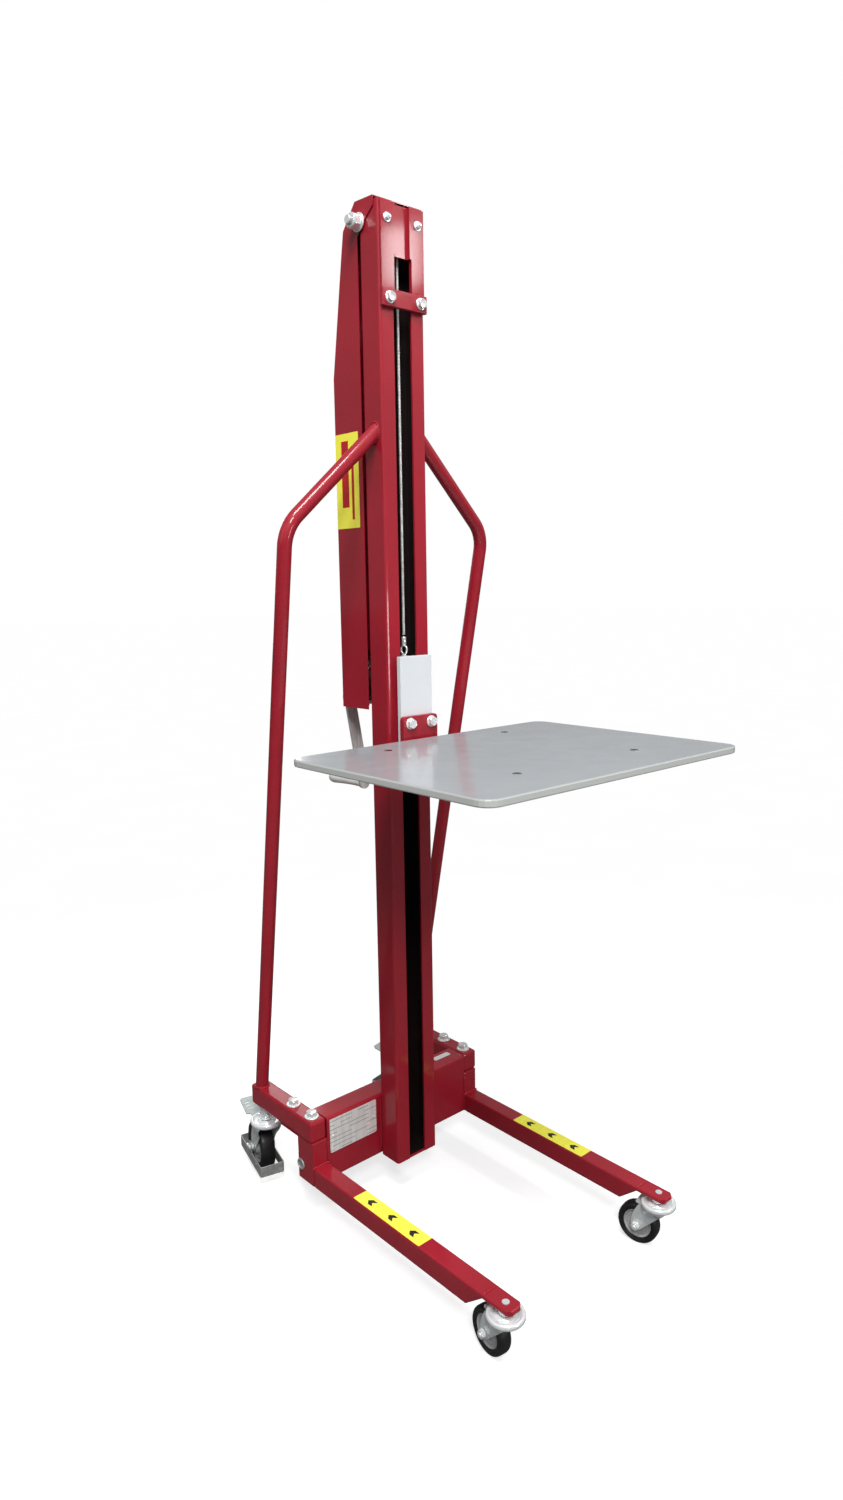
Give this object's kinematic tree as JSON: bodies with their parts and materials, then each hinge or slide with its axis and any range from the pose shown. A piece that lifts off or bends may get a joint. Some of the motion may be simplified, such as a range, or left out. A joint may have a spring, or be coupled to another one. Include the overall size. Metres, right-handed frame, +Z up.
{
  "type": "hand winch platform lift",
  "caption": "Wheeled hand-winch lift: slotted steel mast, rope-driven carriage with a flat load platform, crank behind, push handles, leg base on swivel casters.",
  "frame": {"origin": "on the floor, in the lift's middle plane, under the middle of the whole lift's footprint at rest", "axes": "+Z up the mast; -Y forwards, the way the legs and the platform point; +X to the left of an operator who stands behind the mast"},
  "size_m": [0.6, 0.8448, 1.8275],
  "materials": {
    "red_paint": "dark red enamel, semi-gloss",
    "zinc": "bright zinc plating",
    "bare_steel": "bare machined steel",
    "platform_grey": "light grey, glossy",
    "pale_paint": "pale grey, satin",
    "tyre_rubber": "black rubber, satin",
    "hub_grey": "grey moulded hub",
    "rope_steel": "stranded steel wire",
    "grip_plastic": "off-white moulded plastic"
  },
  "bodies": {
    "frame": {"carriage_stop_bar": "red_paint", "cross_beam": "red_paint", "end_post_left": "red_paint", "end_post_right": "red_paint", "handle_tube_left": "red_paint", "handle_tube_right": "red_paint", "head_front_plate": "red_paint", "leg_left": "red_paint", "leg_right": "red_paint", "mast_channel": "red_paint", "rear_arm_left": "red_paint", "rear_arm_right": "red_paint", "rear_cover": "red_paint", "name_plate": "bare_steel", "sheave_axle_bolt": "zinc", "sheave_axle_nut": "zinc", "winch_bracket": "zinc", "lift_rope": "rope_steel", "winch_rope": "rope_steel", "front_left_stem": "zinc", "front_right_stem": "zinc", "rear_left_stem": "zinc", "rear_right_stem": "zinc"},
    "carriage": {"carriage_trolley": "bare_steel", "rope_socket": "zinc", "carriage_face_plate": "pale_paint", "platform_bracket": "red_paint", "bracket_bolt_left": "zinc", "bracket_bolt_right": "zinc", "load_platform": "platform_grey"},
    "sheave": {"rope_sheave": "bare_steel"},
    "drum": {"winch_drum_gear": "bare_steel"},
    "crank": {"crank_shaft_pinion": "bare_steel", "crank_arm": "bare_steel", "crank_nut": "zinc"},
    "grip": {"crank_grip": "grip_plastic"},
    "roller_lower_left": {"guide_roller_lower_left": "bare_steel"},
    "roller_lower_right": {"guide_roller_lower_right": "bare_steel"},
    "roller_upper_left": {"guide_roller_upper_left": "bare_steel"},
    "roller_upper_right": {"guide_roller_upper_right": "bare_steel"},
    "front_left_swivel": {"front_left_fork": "zinc", "front_left_axle": "zinc"},
    "front_left_wheel": {"front_left_hub": "hub_grey", "front_left_tyre": "tyre_rubber"},
    "front_right_swivel": {"front_right_fork": "zinc", "front_right_axle": "zinc"},
    "front_right_wheel": {"front_right_hub": "hub_grey", "front_right_tyre": "tyre_rubber"},
    "rear_left_swivel": {"rear_left_fork": "zinc", "rear_left_axle": "zinc", "rear_left_toe_guard": "zinc"},
    "rear_left_wheel": {"rear_left_hub": "hub_grey", "rear_left_tyre": "tyre_rubber"},
    "rear_left_pedal": {"rear_left_brake_pedal": "zinc"},
    "rear_right_swivel": {"rear_right_fork": "zinc", "rear_right_axle": "zinc", "rear_right_toe_guard": "zinc"},
    "rear_right_wheel": {"rear_right_hub": "hub_grey", "rear_right_tyre": "tyre_rubber"},
    "rear_right_pedal": {"rear_right_brake_pedal": "zinc"}
  },
  "joints": [
    {"name": "lift", "type": "slide", "parent": "frame", "child": "carriage", "axis": [0, 0, 1], "range_m": [-0.787, 0.58], "deforming": ["lift_rope"]},
    {"name": "sheave_spin", "type": "hinge", "parent": "frame", "child": "sheave", "pos_m": [0.009, 0.1221, 1.792], "axis": [1, 0, 0], "range_deg": [-1306, 1771]},
    {"name": "drum_spin", "type": "hinge", "parent": "frame", "child": "drum", "pos_m": [0.004, 0.1556, 1.01629], "axis": [0, 1, 0], "range_deg": [-1527, 2071]},
    {"name": "crank_spin", "type": "hinge", "parent": "frame", "child": "crank", "pos_m": [-0.0242, 0.1756, 0.975], "axis": [0, 1, 0], "range_deg": [-6553, 4830]},
    {"name": "grip_spin", "type": "hinge", "parent": "crank", "child": "grip", "pos_m": [0.00601, 0.2251, 0.80192], "axis": [0, 1, 0], "continuous": true},
    {"name": "roller_lower_left_spin", "type": "hinge", "parent": "carriage", "child": "roller_lower_left", "pos_m": [0, 0.0996, 0.897], "axis": [1, 0, 0], "range_deg": [-1624, 2202]},
    {"name": "roller_lower_right_spin", "type": "hinge", "parent": "carriage", "child": "roller_lower_right", "pos_m": [0, 0.0996, 0.897], "axis": [1, 0, 0], "range_deg": [-1624, 2202]},
    {"name": "roller_upper_left_spin", "type": "hinge", "parent": "carriage", "child": "roller_upper_left", "pos_m": [0, 0.0996, 1.027], "axis": [1, 0, 0], "range_deg": [-2202, 1624]},
    {"name": "roller_upper_right_spin", "type": "hinge", "parent": "carriage", "child": "roller_upper_right", "pos_m": [0, 0.0996, 1.027], "axis": [1, 0, 0], "range_deg": [-2202, 1624]},
    {"name": "front_left_swivel_turn", "type": "hinge", "parent": "frame", "child": "front_left_swivel", "pos_m": [-0.198, -0.3544, 0.083], "axis": [0, 0, 1], "continuous": true},
    {"name": "front_left_wheel_spin", "type": "hinge", "parent": "front_left_swivel", "child": "front_left_wheel", "pos_m": [-0.19268, -0.31879, 0.038], "axis": [0.989, -0.1478, 0], "continuous": true},
    {"name": "front_right_swivel_turn", "type": "hinge", "parent": "frame", "child": "front_right_swivel", "pos_m": [0.198, -0.3544, 0.083], "axis": [0, 0, 1], "continuous": true},
    {"name": "front_right_wheel_spin", "type": "hinge", "parent": "front_right_swivel", "child": "front_right_wheel", "pos_m": [0.19082, -0.31912, 0.038], "axis": [0.9799, 0.1994, 0], "continuous": true},
    {"name": "rear_left_swivel_turn", "type": "hinge", "parent": "frame", "child": "rear_left_swivel", "pos_m": [-0.2, 0.3076, 0.12], "axis": [0, 0, 1], "continuous": true},
    {"name": "rear_left_wheel_spin", "type": "hinge", "parent": "rear_left_swivel", "child": "rear_left_wheel", "pos_m": [-0.18948, 0.34826, 0.05], "axis": [0.9681, -0.2504, 0], "continuous": true},
    {"name": "rear_left_pedal_press", "type": "hinge", "parent": "rear_left_swivel", "child": "rear_left_pedal", "pos_m": [-0.19449, 0.3289, 0.111], "axis": [0.9681, -0.2504, 0], "range_deg": [-14, 0]},
    {"name": "rear_right_swivel_turn", "type": "hinge", "parent": "frame", "child": "rear_right_swivel", "pos_m": [0.2, 0.3076, 0.12], "axis": [0, 0, 1], "continuous": true},
    {"name": "rear_right_wheel_spin", "type": "hinge", "parent": "rear_right_swivel", "child": "rear_right_wheel", "pos_m": [0.19127, 0.34868, 0.05], "axis": [0.9781, 0.2079, 0], "continuous": true},
    {"name": "rear_right_pedal_press", "type": "hinge", "parent": "rear_right_swivel", "child": "rear_right_pedal", "pos_m": [0.19543, 0.32912, 0.111], "axis": [0.9781, 0.2079, 0], "range_deg": [-14, 0]}
  ],
  "couplings": [
    {"joint": "sheave_spin", "follows": "lift", "rad_per_m": -39.216},
    {"joint": "drum_spin", "follows": "lift", "rad_per_m": -45.872},
    {"joint": "crank_spin", "follows": "lift", "rad_per_m": 145.26},
    {"joint": "roller_lower_left_spin", "follows": "lift", "rad_per_m": -48.78},
    {"joint": "roller_lower_right_spin", "follows": "lift", "rad_per_m": -48.78},
    {"joint": "roller_upper_left_spin", "follows": "lift", "rad_per_m": 48.78},
    {"joint": "roller_upper_right_spin", "follows": "lift", "rad_per_m": 48.78}
  ]
}
